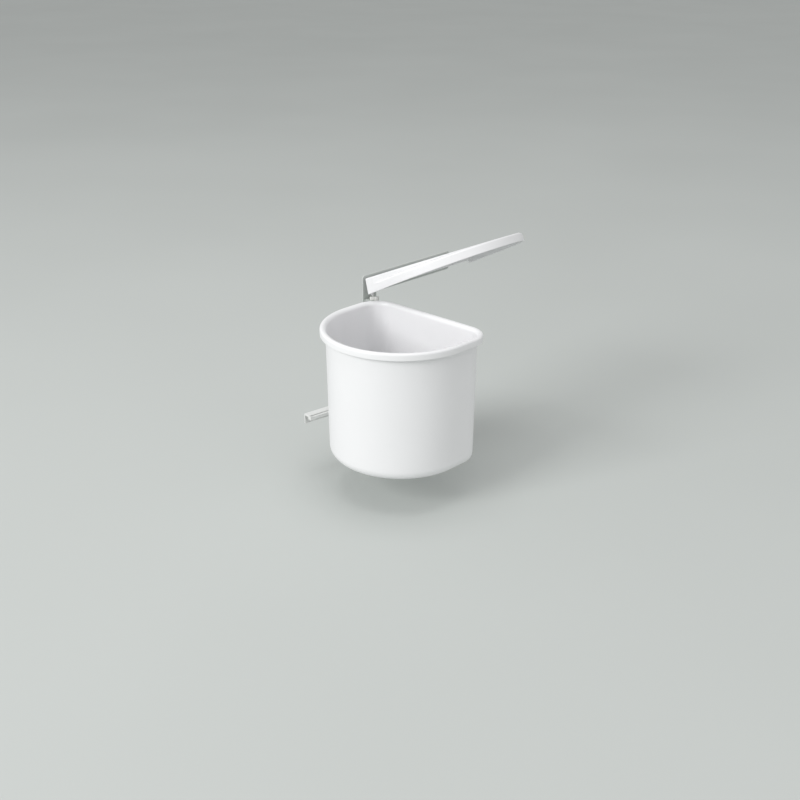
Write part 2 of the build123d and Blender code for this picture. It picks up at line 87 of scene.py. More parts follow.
def fleck(tree, size_mm, detail=2.0):
    """Noise on Object coordinates whose blotches are size_mm across."""
    place = add(tree, "TexCoord")
    return add(tree, "TexNoise", {"Scale": 1 / (size_mm * mm), "Detail": detail},
               {"Vector": place.outputs["Object"]}).outputs["Fac"]


def between(tree, share, low, high):
    """A number that runs from low to high as share runs over the middle of the noise."""
    return add(tree, "MapRange", {"From Min": 0.3, "From Max": 0.7, "To Min": low, "To Max": high},
               {"Value": share}).outputs["Result"]


def two_tones(tree, share, first, second):
    """A colour between two hex tones."""
    blend = add(tree, "Mix", {"data_type": "RGBA", 6: linear(first), 7: linear(second)}, {0: share})
    return blend.outputs[2]


def relief(tree, height, depth_mm, below=None):
    """A bump of depth_mm, over another one where below is given."""
    links = {"Height": height}
    if below is not None:
        links["Normal"] = below
    return add(tree, "Bump", {"Distance": depth_mm * mm}, links).outputs["Normal"]


# Matt painted floor: even, a little cloudy, so the bin's edge and its shadow read against it.
floor_paint, tree, shader = blank_material("matt_floor_paint")
tree.links.new(two_tones(tree, between(tree, fleck(tree, 900), 0, 1), "#C5C9C6", "#C8CCC9"),
               shader.inputs["Base Color"])
shader.inputs["Roughness"].default_value = 0.85
shader.inputs["Specular IOR Level"].default_value = 0.25

floor_mesh = bpy.data.meshes.new("floor")
reach = np.array([[-1, -1], [1, -1], [1, 1], [-1, 1]]) * floor_reach
corners = np.column_stack([reach, np.full(4, floor_z)]) * mm
floor_mesh.from_pydata(corners.tolist(), [], [(0, 1, 2, 3)])
floor = bpy.data.objects.new("floor", floor_mesh)
floor_mesh.materials.append(floor_paint)
bpy.context.collection.objects.link(floor)

scene = bpy.context.scene
scene.view_settings.view_transform = "Standard"
world = bpy.data.worlds.new("pale_room")
world.use_nodes = True
tree = world.node_tree
room_light = 0.63            # the room's light on the bin, as a share of its tone
lit = tuple(room_light * channel for channel in linear("#F4F4F5"))
ray = add(tree, "LightPath").outputs
shown = ray["Is Camera Ray"]
for other in ("Is Transmission Ray", "Is Glossy Ray"):
    shown = add(tree, "Math", {"operation": "MAXIMUM"}, {0: shown, 1: ray[other]}).outputs[0]
room = add(tree, "Mix", {"data_type": "RGBA", 6: lit, 7: linear("#DDE0DE")}, {0: shown})
tree.links.new(room.outputs[2], tree.nodes["Background"].inputs["Color"])
scene.world = world

aim = Vector((0.15, -0.12, -0.12))
for name, place, width, power in (("front_lamp", (-0.45, -4.97, 2.4), 2.4, 152.0),
                                  ("right_lamp", (4.6, -0.8, 2.2), 2.4, 6.0),
                                  ("top_lamp", (0.4, -0.5, 4.6), 2.8, 52.0)):
    lamp = bpy.data.lights.new(name, "AREA")
    lamp.size, lamp.energy = width, power
    stand = bpy.data.objects.new(name, lamp)
    stand.location = place
    stand.rotation_euler = (Vector(place) - aim).to_track_quat("Z", "Y").to_euler()
    stand.visible_camera = False
    bpy.context.collection.objects.link(stand)

lens = bpy.data.cameras.new("camera")
lens.lens, lens.sensor_width = 49.961, 36.0
lens.clip_start, lens.clip_end = 0.05, 60.0
camera = bpy.data.objects.new("camera", lens)
camera.location = (1.38142, -1.45222, 0.607701)
look_down, look_left = 23.401, 43.759
camera.rotation_euler = (radians(90 - look_down), 0, radians(look_left))
bpy.context.collection.objects.link(camera)
scene.camera = camera


# Bucket: one injection moulding in white polypropylene with a turned-down rim, an open channel
# under it, a drafted body and a dished foot. It is hooked by its rim over the hanger's tongue.
rim_z = -25.0
foot_z = -261.0
bucket_half = 138.0
bucket_mid = (149.56, -163.97)
bucket_depth = 81.5          # from the middle to the flat back
rim_corner = 44.5
lip = 9.5                    # rim's overhang
lip_height = 12.5
lip_edge_r = 4.0
rim_inner_r = 7.0            # rounding from the rim's top into the inside
channel_r = 2.0              # outer corner of the channel under the rim
wall = 2.0
foot_r = 19.0
dish = 2.0                   # hollow under the bottom
dish_inset = 34.0
small_r = 0.8
draft = tan(radians(0.7))


def turn(mid, r, start, stop, count):
    """Arc points: mid + r (cos a, sin a), with a evenly spaced from start to stop in degrees."""
    a = np.radians(np.linspace(start, stop, count))
    return np.column_stack([mid[0] + r * np.cos(a), mid[1] + r * np.sin(a)])


def run(start, stop, count):
    """Evenly spaced points of a straight stretch, both ends included."""
    return np.linspace(start, stop, count)


def outward(path):
    """Unit normals of a closed path walked anticlockwise: the tangent turned by -90 degrees."""
    t = np.roll(path, -1, axis=0) - np.roll(path, 1, axis=0)
    n = np.column_stack([t[:, 1], -t[:, 0]])
    return n / np.linalg.norm(n, axis=1)[:, None]


def closed_path(*stretches):
    """Stretches laid end to end, doubled points dropped, with the path's outward normals."""
    path = np.vstack(stretches)
    step = np.linalg.norm(path - np.roll(path, 1, axis=0), axis=1)
    path = path[step > 1e-6]
    return path, outward(path)


def carry(path, normal, profile, middle):
    """A profile carried round a closed path: point = middle + s (path - inset normal - middle).

    Each row of the profile is (inset, height, s); s = 0 draws the row together in a pole.
    """
    inset, height, s = (np.array(profile, float)[:, k][:, None] for k in range(3))
    x = middle[0] + s * (path[:, 0] - inset * normal[:, 0] - middle[0])
    y = middle[1] + s * (path[:, 1] - inset * normal[:, 1] - middle[1])
    return np.stack([x, y, height + 0 * x], axis=-1)


def skin(name, grid, loop=False):
    """A closed mesh of a grid of points in mm, or of a list of grids.

    Each row of a grid is a ring, each face joins two points of a ring to the same two of the next
    one, and loop joins the last ring to the first.
    """
    points, quads, start = [], [], 0
    for part in grid if isinstance(grid, list) else [grid]:
        index = start + np.arange(part.shape[0] * part.shape[1]).reshape(part.shape[:2])
        start += index.size
        if loop:
            index = np.vstack([index, index[:1]])
        right = np.roll(index, -1, axis=1)
        faces = np.stack([index[:-1], right[:-1], right[1:], index[1:]], axis=-1)
        quads.append(faces.reshape(-1, 4))
        points.append(part.reshape(-1, 3))
    mesh = bpy.data.meshes.new(name)
    mesh.from_pydata((np.vstack(points) * mm).tolist(), [], np.vstack(quads).tolist())
    return settle(name, mesh)


def placed(name, mesh, work):
    """Writes the worked mesh back and links an object of it into the scene, smoothly shaded."""
    work.to_mesh(mesh)
    work.free()
    mesh.shade_smooth()
    piece = bpy.data.objects.new(name, mesh)
    bpy.context.collection.objects.link(piece)
    return piece


def settle(name, mesh):
    """Merges points that fall together, which closes the poles, and turns the faces outwards."""
    work = bmesh.new()
    work.from_mesh(mesh)
    bmesh.ops.remove_doubles(work, verts=work.verts, dist=merge_reach)
    bmesh.ops.recalc_face_normals(work, faces=work.faces)
    if work.calc_volume(signed=True) < 0:
        bmesh.ops.reverse_faces(work, faces=work.faces)
    piece = placed(name, mesh, work)
    piece.modifiers.new("even_shading", "WEIGHTED_NORMAL").keep_sharp = True
    return piece


def fit(piece, material, slot, body, *nodes):
    """Gives a piece its material, lets it ride on a body and stand for CAD nodes. slot is not used.
    """
    piece.data.materials.append(material)
    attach(piece, body)
    if nodes:
        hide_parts(*nodes)


def with_s(points):
    """Profile rows with s = 1."""
    return [(i, z, 1.0) for i, z in points]


# Gloss polypropylene: moulded against a polished tool, so it mirrors softly, with the faint
# unevenness of sink over a few centimetres and a fine orange peel. IOR 1.49.
gloss_white, tree, shader = blank_material("gloss_white_polypropylene")
tree.links.new(two_tones(tree, between(tree, fleck(tree, 120), 0, 1), "#F2F2F3", "#F4F4F5"),
               shader.inputs["Base Color"])
tree.links.new(between(tree, fleck(tree, 60, 0.0), 0.28, 0.33), shader.inputs["Roughness"])
sink = relief(tree, fleck(tree, 70, 0.0), 0.04)
tree.links.new(relief(tree, fleck(tree, 2.2, 0.0), 0.0015, sink), shader.inputs["Normal"])
shader.inputs["IOR"].default_value = 1.49

cx, cy = bucket_mid
side_y = bucket_depth - rim_corner
bucket_path, bucket_out = closed_path(
    turn((cx, cy), bucket_half, 180, 360, 121),
    run((cx + bucket_half, cy), (cx + bucket_half, cy + side_y), 5),
    turn((cx + bucket_half - rim_corner, cy + side_y), rim_corner, 0, 90, 25),
    run((cx + bucket_half - rim_corner, cy + bucket_depth),
        (cx - bucket_half + rim_corner, cy + bucket_depth), 15),
    turn((cx - bucket_half + rim_corner, cy + side_y), rim_corner, 90, 180, 25),
    run((cx - bucket_half, cy + side_y), (cx - bucket_half, cy), 5))


def wall_inset(z):
    """The drafted wall's outside: the overhang plus the draft times the depth under the rim."""
    return lip + (rim_z - z) * draft


foot_mid = (wall_inset(foot_z + foot_r) + foot_r, foot_z + foot_r)
bucket_profile = [(dish_inset + 2, foot_z + dish, s) for s in (0.0, 0.35, 0.7)]
bucket_profile += with_s([
    *turn((dish_inset + small_r, foot_z + dish - small_r), small_r, 90, 180, 4),
    *turn((dish_inset - small_r, foot_z + small_r), small_r, 0, -90, 4),
    *turn(foot_mid, foot_r, -90, -180, 19),
    *[(wall_inset(z), z) for z in np.linspace(foot_z + foot_r + 8, rim_z - lip_height - 4, 12)],
    (wall_inset(rim_z - lip_height), rim_z - lip_height),
    (wall_inset(rim_z - wall - 3), rim_z - wall - 3),
    *turn((lip - small_r, rim_z - wall - small_r), small_r, 0, 90, 4),
    *turn((wall + channel_r, rim_z - wall - channel_r), channel_r, 90, 180, 6),
    (wall, rim_z - lip_height + 3),
    *turn((wall / 2, rim_z - lip_height + wall / 2), wall / 2, 0, -180, 9),
    (0, rim_z - lip_height + 3), (0, rim_z - 6),
    *turn((lip_edge_r, rim_z - lip_edge_r), lip_edge_r, 180, 90, 10),
    *turn((lip + wall - rim_inner_r, rim_z - rim_inner_r), rim_inner_r, 90, 0, 13),
    *[(wall_inset(z) + wall, z) for z in np.linspace(rim_z - 12, foot_z + foot_r + 8, 13)],
    *turn(foot_mid, foot_r - wall, 180, 270, 17),
    *turn((dish_inset - wall - small_r, foot_z + wall + small_r), small_r, -90, 0, 4),
    *turn((dish_inset - wall + small_r, foot_z + wall + dish - small_r), small_r, 180, 90, 4)])
bucket_profile += [(dish_inset, foot_z + wall + dish, s) for s in (1.0, 0.65, 0.3, 0.0)]
bucket_heart = (cx, cy - 25)  # where the foot's rings draw together
bucket = skin("bucket_moulding", carry(bucket_path, bucket_out, bucket_profile, bucket_heart))
fit(bucket, gloss_white, "white_plastic", "bucket", "bucket")

# Gate mark: the small stub of polypropylene where the melt entered the mould, in the middle of the
# dished foot. It is part of the moulding, cut off short of the floor.
gate_r = 3.0
gate_path, gate_out = closed_path(turn(bucket_heart, gate_r, 0, 360, 33))
gate_profile = [(0.0, 2.6, 0.0), (0.4, 2.6, 1.0), (0.0, 2.2, 1.0), (0.0, 1.9, 1.0), (0.6, 1.4, 1.0),
                (1.2, 1.5, 1.0), (1.2, 1.5, 0.0)]
gate = skin("bucket_gate_mark", carry(gate_path, gate_out, [
    (inset, foot_z + high, s) for inset, high, s in gate_profile], bucket_heart))
fit(gate, gloss_white, "white_plastic", "bucket")


# Lid: one white moulding that stands along the wall on its hinge. A low skirt runs round a raised
# top that slopes to the round front; inside it are four ribs, two hinge knuckles and a lug.
hinge = np.array([7.5, -7.0])         # the lid's axis, in X and Z
lid_tilt = radians(27.0)
lid_low = -16.7
skirt = 15.0
lid_near, lid_far = -110.04, 179.16
lid_front = 232.77
lid_back = 9.6
lid_lean = 6.1
lid_rise = 28.8
lid_mid = (lid_near + lid_far) / 2
lid_half = (lid_far - lid_near) / 2
lid_round = lid_front - lid_half
lid_corner = 6.0
crown_inset = 4.0
crown_fade = (30.0, 56.0)    # the raised top draws in from the skirt between these X
crown_edge_r = 2.2
crown_root_r = 0.5
ledge_edge_r = 2.6
groove_depth = 0.7
tray_top = lid_low + skirt
crown_slope = (lid_rise - skirt) / (lid_front - lid_back - lid_lean)
crown_dome = 0.9
back_clear = rim_z + 13.5    # lower edge of the back, clear of the bucket's rim
lug_back = -96.75


def opened(points):
    """Turns points of the shut lid up by its tilt about the hinge's axis, parallel to Y."""
    x, z = points[..., 0] - hinge[0], points[..., 2] - hinge[1]
    up_x = hinge[0] + x * cos(lid_tilt) - z * sin(lid_tilt)
    up_z = hinge[1] + x * sin(lid_tilt) + z * cos(lid_tilt)
    return np.stack([up_x, points[..., 1], up_z], axis=-1)


def crown_height(x):
    """The raised top's plane: highest at the wall, down to the tray's top at the front."""
    return lid_low + lid_rise - (x - lid_back - lid_lean) * crown_slope


# Stops along the straight sides and the back, closer where the crown fades and beside the lug.
side_stops = np.concatenate([np.linspace(lid_round, crown_fade[1], 5),
                             np.linspace(crown_fade[1], crown_fade[0], 12)[1:],
                             np.linspace(crown_fade[0], lid_back + lid_corner, 4)[1:]])
back_stops = np.array([lid_far - lid_corner, lid_far - lid_corner - 4, *range(150, -76, -25), -88,
                       lug_back + 1.4, lug_back + 0.9, lug_back - 1, lid_near + lid_corner + 2,
                       lid_near + lid_corner])
lid_path, lid_out = closed_path(
    turn((lid_round, lid_mid), lid_half, -90, 90, 121),
    np.column_stack([side_stops, np.full(side_stops.size, lid_far)]),
    turn((lid_back + lid_corner, lid_far - lid_corner), lid_corner, 90, 180, 9),
    np.column_stack([np.full(back_stops.size, lid_back), back_stops]),
    turn((lid_back + lid_corner, lid_near + lid_corner), lid_corner, 180, 270, 9),
    np.column_stack([side_stops[::-1], np.full(side_stops.size, lid_near)]))

lean_share = np.clip((lid_round - lid_path[:, 0]) / (lid_round - lid_back - lid_corner), 0, 1)
rise = np.clip((lid_path[:, 0] - crown_fade[0]) / (crown_fade[1] - crown_fade[0]), 0, 1)
crown_in = crown_inset * (0.01 + 0.99 * rise * rise * (3 - 2 * rise))
at_back = ((lid_out[:, 0] < -0.9) & (lid_path[:, 1] > lug_back + 1.2)
           & (lid_path[:, 1] < lid_far - lid_corner - 1))
lid_edge_z = np.where(at_back, back_clear, lid_low)
lid_heart = np.array([112.0, lid_mid])  # where the top's rings draw together


def lid_row(inset, z, s=1.0):
    """One ring of the lid: heart + s (outline - inset normal + lean - heart), at height z.

    The lean is along X: the back's full lean times its share there times the height's share.
    """
    inset, z = inset + 0 * crown_in, z + 0 * crown_in
    x = lid_path[:, 0] - inset * lid_out[:, 0] + lean_share * lid_lean * (z - lid_low) / lid_rise
    y = lid_path[:, 1] - inset * lid_out[:, 1]
    drawn_x = lid_heart[0] + s * (x - lid_heart[0])
    return np.column_stack([drawn_x, lid_heart[1] + s * (y - lid_heart[1]), z])


def crown_row(inset, drop, s=1.0):
    """A ring on the raised top: height = plane at its own X + dome (1 - s s) - drop."""
    ring = lid_row(inset, tray_top + side_high, s)
    ring[:, 2] = crown_height(ring[:, 0]) + crown_dome * (1 - s * s) - drop
    return ring


# Each rounding is a share of the crown's height or inset where these run out, so that no ring
# passes the next one.
top_x = lid_path[:, 0] - crown_in * lid_out[:, 0] + lean_share * lid_lean
crown_r = np.minimum(crown_edge_r, 0.45 * (crown_height(top_x) - tray_top))
side_high = crown_height(top_x - crown_r * lid_out[:, 0]) - tray_top
ledge_r = np.minimum(ledge_edge_r, 0.6 * crown_in)
root_r = np.minimum(np.minimum(crown_root_r, 0.15 * crown_in), 0.3 * side_high)
groove = groove_depth * rise * np.clip(side_high / 3 - 0.3, 0, 1)
quarter = np.radians(np.linspace(0, 90, 7))
lip_turn = np.radians(np.linspace(0, 90, 5))
draw_in = (1, 0.97, 0.9, 0.78, 0.62, 0.45, 0.28, 0.12, 0.0)  # from the crown's edge to its pole
lid_rows = [lid_row(1 - cos(a), lid_edge_z + 1 - sin(a)) for a in lip_turn[::-1]]
lid_rows += [lid_row(0, np.maximum(lid_edge_z + 1.5, z)) for z in (lid_low + 4, lid_low + 8)]
lid_rows += [lid_row(ledge_r * (1 - cos(a)), tray_top - ledge_r * (1 - sin(a))) for a in quarter]
lid_rows += [lid_row(crown_in - root_r * cos(a), tray_top + root_r * (1 - cos(a)))
             for a in quarter[::2]]
lid_rows += [lid_row(crown_in + share * groove, tray_top + root_r + high) for share, high in
             ((0.0, 0.0), (1.0, 0.15 * groove), (1.0, 1.1 * groove), (0.0, 1.3 * groove))]
lid_rows += [lid_row(crown_in, tray_top + 0.75 * (side_high - crown_r)
                     + 0.25 * (root_r + 1.3 * groove))]
lid_rows += [lid_row(crown_in + crown_r * (1 - cos(a)),
                     tray_top + side_high - crown_r * (1 - sin(a))) for a in quarter[:-1]]
lid_rows += [crown_row(crown_in + crown_r, 0.0, s) for s in draw_in]
inner_in = crown_in + wall
inner_top = tray_top - wall
lid_rows += [crown_row(inner_in + 1.2, wall, s) for s in draw_in[::-1]]
lid_rows += [lid_row(inner_in + 0.3, inner_top + np.maximum(side_high - 0.4, 0.75 * side_high)),
             lid_row(inner_in, inner_top + np.maximum(side_high - 1.0, 0.5 * side_high)),
             lid_row(inner_in, inner_top + 0.4 * np.minimum(1, side_high)),
             lid_row(inner_in - np.minimum(0.5, 0.2 * crown_in), inner_top),
             lid_row(wall + np.minimum(1.0, 0.4 * crown_in), inner_top),
             lid_row(wall + np.minimum(0.3, 0.1 * crown_in), inner_top - 0.3),
             lid_row(wall, inner_top - 1.0)]
lid_rows += [lid_row(wall, np.maximum(lid_edge_z + 1.5, z)) for z in (lid_low + 8, lid_low + 4)]
lid_rows += [lid_row(1 + cos(a), lid_edge_z + 1 - sin(a)) for a in lip_turn[:-1]]
lid = skin("lid_moulding", opened(np.array(lid_rows)), loop=True)
fit(lid, gloss_white, "white_plastic", "lid", "lid")


# Hinge knuckles: two barrels moulded on the lid's back in the same polypropylene, each with a web
# into the back wall and a reamed bore for its steel pin.
def bored(path, normal, hole_mid, hole_r, hole_angle, low, high, ease):
    """A plate with one round hole and eased edges: rings up the outline and down the hole.

    hole_angle gives, for each point of the outline, the angle of its point on the hole.
    """
    around = np.column_stack([np.cos(hole_angle), np.sin(hole_angle)])
    rows = [(path - share * ease * normal, level) for share, level in
            ((1.0, low), (0.3, low + 0.3 * ease), (0.0, low + ease),
             (0.0, high - ease), (0.3, high - 0.3 * ease), (1.0, high))]
    rows += [(hole_mid + r * around, level) for r, level in
             ((hole_r + ease / 2, high), (hole_r, high - ease / 2),
              (hole_r, low + ease / 2), (hole_r + ease / 2, low))]
    return np.array([np.column_stack([ring, np.full(len(ring), level)]) for ring, level in rows])


def along_y(grid):
    """Lays an upright grid down along Y: its height becomes Y."""
    return np.stack([grid[..., 0], grid[..., 2], grid[..., 1]], axis=-1)


knuckle_ys = (-68.0, 113.0)
knuckle_r, knuckle_length, knuckle_bore = 3.0, 11.4, 1.55
web_end = 13.65              # back wall's inner face
web_r = 0.8
knuckle_path, knuckle_out = closed_path(
    turn(hinge, knuckle_r, 90, 360, 37),
    run((hinge[0] + knuckle_r, hinge[1]), (web_end - web_r, hinge[1]), 5),
    turn((web_end - web_r, hinge[1] + web_r), web_r, -90, 0, 5),
    turn((web_end - web_r, hinge[1] + knuckle_r - web_r), web_r, 0, 90, 5),
    run((web_end - web_r, hinge[1] + knuckle_r), (hinge[0], hinge[1] + knuckle_r), 8))
barrel_points = 36           # outline points on the barrel, which face most of the bore
points = len(knuckle_path)
bore_turn = np.radians(np.interp(np.arange(points), (-1, barrel_points - 1, points - 1),
                                 (90, 370, 450)))
knuckle = bored(knuckle_path, knuckle_out, hinge, knuckle_bore, bore_turn, -knuckle_length / 2,
                knuckle_length / 2, 0.4)
knuckles = [opened(along_y(knuckle) + np.array([0, y, 0])) for y in knuckle_ys]
barrels = skin("lid_hinge_knuckles", knuckles, loop=True)
fit(barrels, gloss_white, "white_plastic", "lid")


# Ribs: four thin ribs of the same moulding, from the back wall to the front skirt and up into the
# shell, which keep the wide lid flat.
rib_ys = (-52.2, 5.64, 63.48, 121.32)
rib_half, rib_low = 0.8, rim_z + 15.5
rib_end = 1.8                # rib's front end inside the skirt's outer face
rib_step = 3.5               # where its top steps down, inside the crown's edge
rib_sunk, ledge_sunk = 0.6, 1.0       # rib's top under the shell's outer face


def rib(y):
    """A rib's grid: sections across Y, from the leaning back wall along X to the skirt.

    A section has a half circle below and a flat top, which follows the crown's plane up to the
    step and lies in the ledge beyond it. Both end sections draw together in a point.
    """
    across = y - lid_mid
    front = lid_round + sqrt((lid_half - rib_end) ** 2 - across ** 2)
    step = lid_round + sqrt((lid_half - crown_inset - rib_step) ** 2 - across ** 2)
    a = np.radians(np.linspace(180, 360, 9))
    section = np.column_stack([rib_half * np.cos(a), rib_half * (1 + np.sin(a))])
    section = np.vstack([section, [(rib_half, 1.0), (-rib_half, 1.0)]])
    on_top = np.arange(len(section)) >= 9
    stations = np.concatenate([[0.0], np.linspace(0, 1, 25) * (step - web_end),
                               [step + 1 - web_end], [front - web_end] * 2])
    share = (stations / (front - web_end))[:, None]
    x = web_end + share * (front - web_end) + 0 * section[:, 0]
    top = np.where(x <= step + 0.01, crown_height(x) - rib_sunk, tray_top - ledge_sunk)
    z = np.where(on_top, top, rib_low + section[:, 1])
    start = lid_back + 1.2 + lid_lean * (z - lid_low) / lid_rise
    x = start + share * (front - start)
    grid = np.stack([x, y + section[:, 0] + 0 * x, z], axis=-1)
    grid[0] = grid[0].mean(axis=0)
    grid[-1] = grid[-1].mean(axis=0)
    return opened(grid)


ribs = skin("lid_ribs", [rib(y) for y in rib_ys])
fit(ribs, gloss_white, "white_plastic", "lid")


# Lug and follower: a solid lug in the lid's near corner holds an acetal pad with a round tip, which
# stands on the cam and carries the lid up as the bin swings out.
tip = np.array([11.471, -99.001, -22.491])      # the pad's lowest point, with the lid shut
pad_r, pad_high, pad_stick = 1.25, 9.0, 2.6
lug_near, lug_front = -101.6, 13.721
lug_r, lug_ease = 0.8, 0.5


def block_path(x0, x1, y0, y1, r, count=5):
    """A rectangle with round corners of radius r, walked anticlockwise."""
    return closed_path(*[turn((x, y), r, start, start + 90, count) for x, y, start in
                         ((x1 - r, y1 - r, 0), (x0 + r, y1 - r, 90),
                          (x0 + r, y0 + r, 180), (x1 - r, y0 + r, 270))])


def block(x0, x1, y0, y1, z0, z1, r, ease):
    """A block with round upright corners: quarter circles of radius ease close in to its ends."""
    path, normal = block_path(x0, x1, y0, y1, r)
    arc = np.radians(np.linspace(0, 90, 4))
    rows = [(ease, z0, 0.0)] + [(ease * (1 - sin(a)), z0 + ease * (1 - cos(a)), 1.0) for a in arc]
    rows += [(ease * (1 - cos(a)), z1 - ease * (1 - sin(a)), 1.0) for a in arc] + [(ease, z1, 0.0)]
    return carry(path, normal, rows, ((x0 + x1) / 2, (y0 + y1) / 2))


lug = skin("lid_lug", opened(block(lid_back + 0.05, lug_front, lug_near, lug_back,
                                   tip[2] + pad_stick, tray_top - 1.5, lug_r, lug_ease)))
fit(lug, gloss_white, "white_plastic", "lid")


def turned(mid, profile, count=48):
    """A turned part about an upright axis: each row (radius, height) is a ring round mid."""
    path, normal = closed_path(turn(mid, 1.0, 0, 360, count + 1))
    return carry(path, normal, [(1 - r, z, 1.0) for r, z in profile], mid)


# Natural acetal: a hard, waxy, machined-smooth plastic, a little creamier and duller than the lid's
# polypropylene. IOR 1.48.
natural_acetal, tree, shader = blank_material("natural_acetal")
tree.links.new(two_tones(tree, between(tree, fleck(tree, 9), 0, 1), "#E6E7E2", "#ECEDE9"),
               shader.inputs["Base Color"])
tree.links.new(between(tree, fleck(tree, 5), 0.34, 0.44), shader.inputs["Roughness"])
tree.links.new(relief(tree, fleck(tree, 0.8), 0.004), shader.inputs["Normal"])
shader.inputs["IOR"].default_value = 1.48

pad_top = tip[2] + pad_high
dome = [(pad_r * sin(a), tip[2] + pad_r * (1 - cos(a))) for a in np.radians(np.linspace(0, 90, 10))]
pad_rows = [*dome, (pad_r, pad_top - 0.3), (pad_r - 0.3, pad_top), (0.0, pad_top)]
pad = skin("follower_pad", opened(turned(tip[:2], pad_rows, 32)))
fit(pad, natural_acetal, "acetal", "lid", "lift_pad")


# Wall bracket: sheet steel 2.5 mm thick, punched and bent, with two welded arms for the pivot and
# two folded hinge brackets. All of it is powder coated pale grey.
flat_angle, sharp_angle = radians(0.6), radians(38)


def eased(name, node, width, segments=2, least=0.0):
    """A merged copy of a CAD solid: triangles joined into flat faces, sharp edges rounded.

    Edges under least times the rounding's width, such as a small hole's facets, stay sharp. Points
    that the rounding brings together are welded, so the mesh stays closed.
    """
    mesh = bpy.data.meshes.new(name)
    work = bmesh.new()
    work.from_mesh(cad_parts[node].data)
    bmesh.ops.remove_doubles(work, verts=work.verts, dist=merge_reach)
    bmesh.ops.dissolve_limit(work, angle_limit=flat_angle, verts=work.verts, edges=work.edges)
    weight = work.edges.layers.float.new("bevel_weight_edge")
    for edge in work.edges:
        long_enough = edge.calc_length() > least * width * mm
        edge[weight] = float(edge.calc_face_angle(0) > sharp_angle and long_enough)
    piece = placed(name, mesh, work)
    ease = piece.modifiers.new("eased_edges", "BEVEL")
    ease.width, ease.segments = width * mm, segments
    ease.limit_method, ease.use_clamp_overlap = "WEIGHT", least == 0
    piece.modifiers.new("welded_corners", "WELD").merge_threshold = merge_reach
    piece.modifiers.new("even_shading", "WEIGHTED_NORMAL").keep_sharp = True
    return piece


# Powder coat: baked polyester powder on degreased steel, satin, with an orange peel of about a
# millimetre and a slight thinning of colour over each panel. IOR 1.5.
powder_coat, tree, shader = blank_material("pale_grey_powder_coat")
tree.links.new(two_tones(tree, between(tree, fleck(tree, 60), 0, 1), "#C2C7C3", "#C9CDCA"),
               shader.inputs["Base Color"])
tree.links.new(between(tree, fleck(tree, 14), 0.4, 0.5), shader.inputs["Roughness"])
tree.links.new(relief(tree, fleck(tree, 1.1, 1.0), 0.02), shader.inputs["Normal"])
shader.inputs["IOR"].default_value = 1.5

for node, width, least in (("wall_plate", 0.45, 1.5), ("upper_arm", 0.3, 0), ("lower_arm", 0.2, 3),
                           ("front_hinge_bracket", 0.25, 3), ("rear_hinge_bracket", 0.25, 3)):
    steel = eased(node + "_steel", node, width, 2, least)
    fit(steel, powder_coat, "painted_steel", "wall_unit", node)


# Pins: cold-drawn steel, cut, chamfered and headed, then zinc plated and clear passivated. The
# hinge pins are riveted in their brackets, the pivot pin is held by a clip and a roll pin.
#
# Zinc plate: a thin bright metal layer with a faint cloudiness, a touch blue. Metallic, with a
# roughness near 0.3 that is a little uneven, as the layer grows on the bar's skin.
zinc_plate, tree, shader = blank_material("zinc_plated_steel")
tree.links.new(two_tones(tree, between(tree, fleck(tree, 6), 0, 1), "#C3C7C9", "#CDCFCD"),
               shader.inputs["Base Color"])
shader.inputs["Metallic"].default_value = 1.0
tree.links.new(between(tree, fleck(tree, 2.5), 0.26, 0.38), shader.inputs["Roughness"])
tree.links.new(relief(tree, fleck(tree, 0.5), 0.003), shader.inputs["Normal"])

hinge_pin_r, head_r, head_t, ear_reach = 1.5, 2.3, 0.8, 8.0
head_end = ear_reach + head_t
half = [(0.0, head_end), (head_r - 0.5, head_end), (head_r - 0.15, head_end - 0.12),
        (head_r, head_end - 0.35), (head_r, ear_reach + 0.1), (head_r - 0.1, ear_reach),
        (hinge_pin_r, ear_reach)]
for name, y in zip(("front_hinge_pin", "rear_hinge_pin"), knuckle_ys):
    rows = [(r, y + h) for r, h in half] + [(r, y - h) for r, h in half[::-1]]
    pin = skin(name + "_steel", along_y(turned(hinge, rows)))
    fit(pin, zinc_plate, "bright_steel", "wall_unit", name)


def span(node, axis):
    """A node's lowest and highest coordinate along an axis, in mm."""
    return [corner[axis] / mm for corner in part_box(node)]


pivot = (19.2, -92.6)        # the swing's axis, in X and Y
pin_r, groove_r = 3.0, 2.2
pin_low, pin_high = span("pivot_pin", 2)
clip_low, clip_high = span("retaining_clip", 2)
pin_rows = [(0.0, pin_low), (pin_r - 0.6, pin_low), (pin_r - 0.15, pin_low + 0.25),
            (pin_r, pin_low + 0.8), (pin_r, clip_low - 0.15), (pin_r - 0.1, clip_low),
            (groove_r, clip_low), (groove_r, clip_high), (pin_r - 0.1, clip_high),
            (pin_r, clip_high + 0.15), (pin_r, pin_high - 0.6), (pin_r - 0.5, pin_high),
            (0.0, pin_high)]
pivot_pin = skin("pivot_pin_steel", turned(pivot, pin_rows, 64))
fit(pivot_pin, zinc_plate, "bright_steel", "hanger", "pivot_pin")

near_end, far_end = span("roll_pin", 1)
roll_z = sum(span("roll_pin", 2)) / 2
roll_r, roll_bore = 1.0, 0.45
roll_rows = [(roll_bore, near_end + 0.4), (roll_bore + 0.05, near_end), (roll_r - 0.2, near_end),
             (roll_r, near_end + 0.3), (roll_r, far_end - 0.3), (roll_r - 0.2, far_end),
             (roll_bore + 0.05, far_end), (roll_bore, far_end - 0.4)]
roll_pin = skin("roll_pin_steel", along_y(turned((pivot[0], roll_z), roll_rows, 32)), loop=True)
fit(roll_pin, zinc_plate, "bright_steel", "hanger", "roll_pin")
clip = eased("retaining_clip_steel", "retaining_clip", 0.2)
fit(clip, zinc_plate, "bright_steel", "hanger", "retaining_clip")


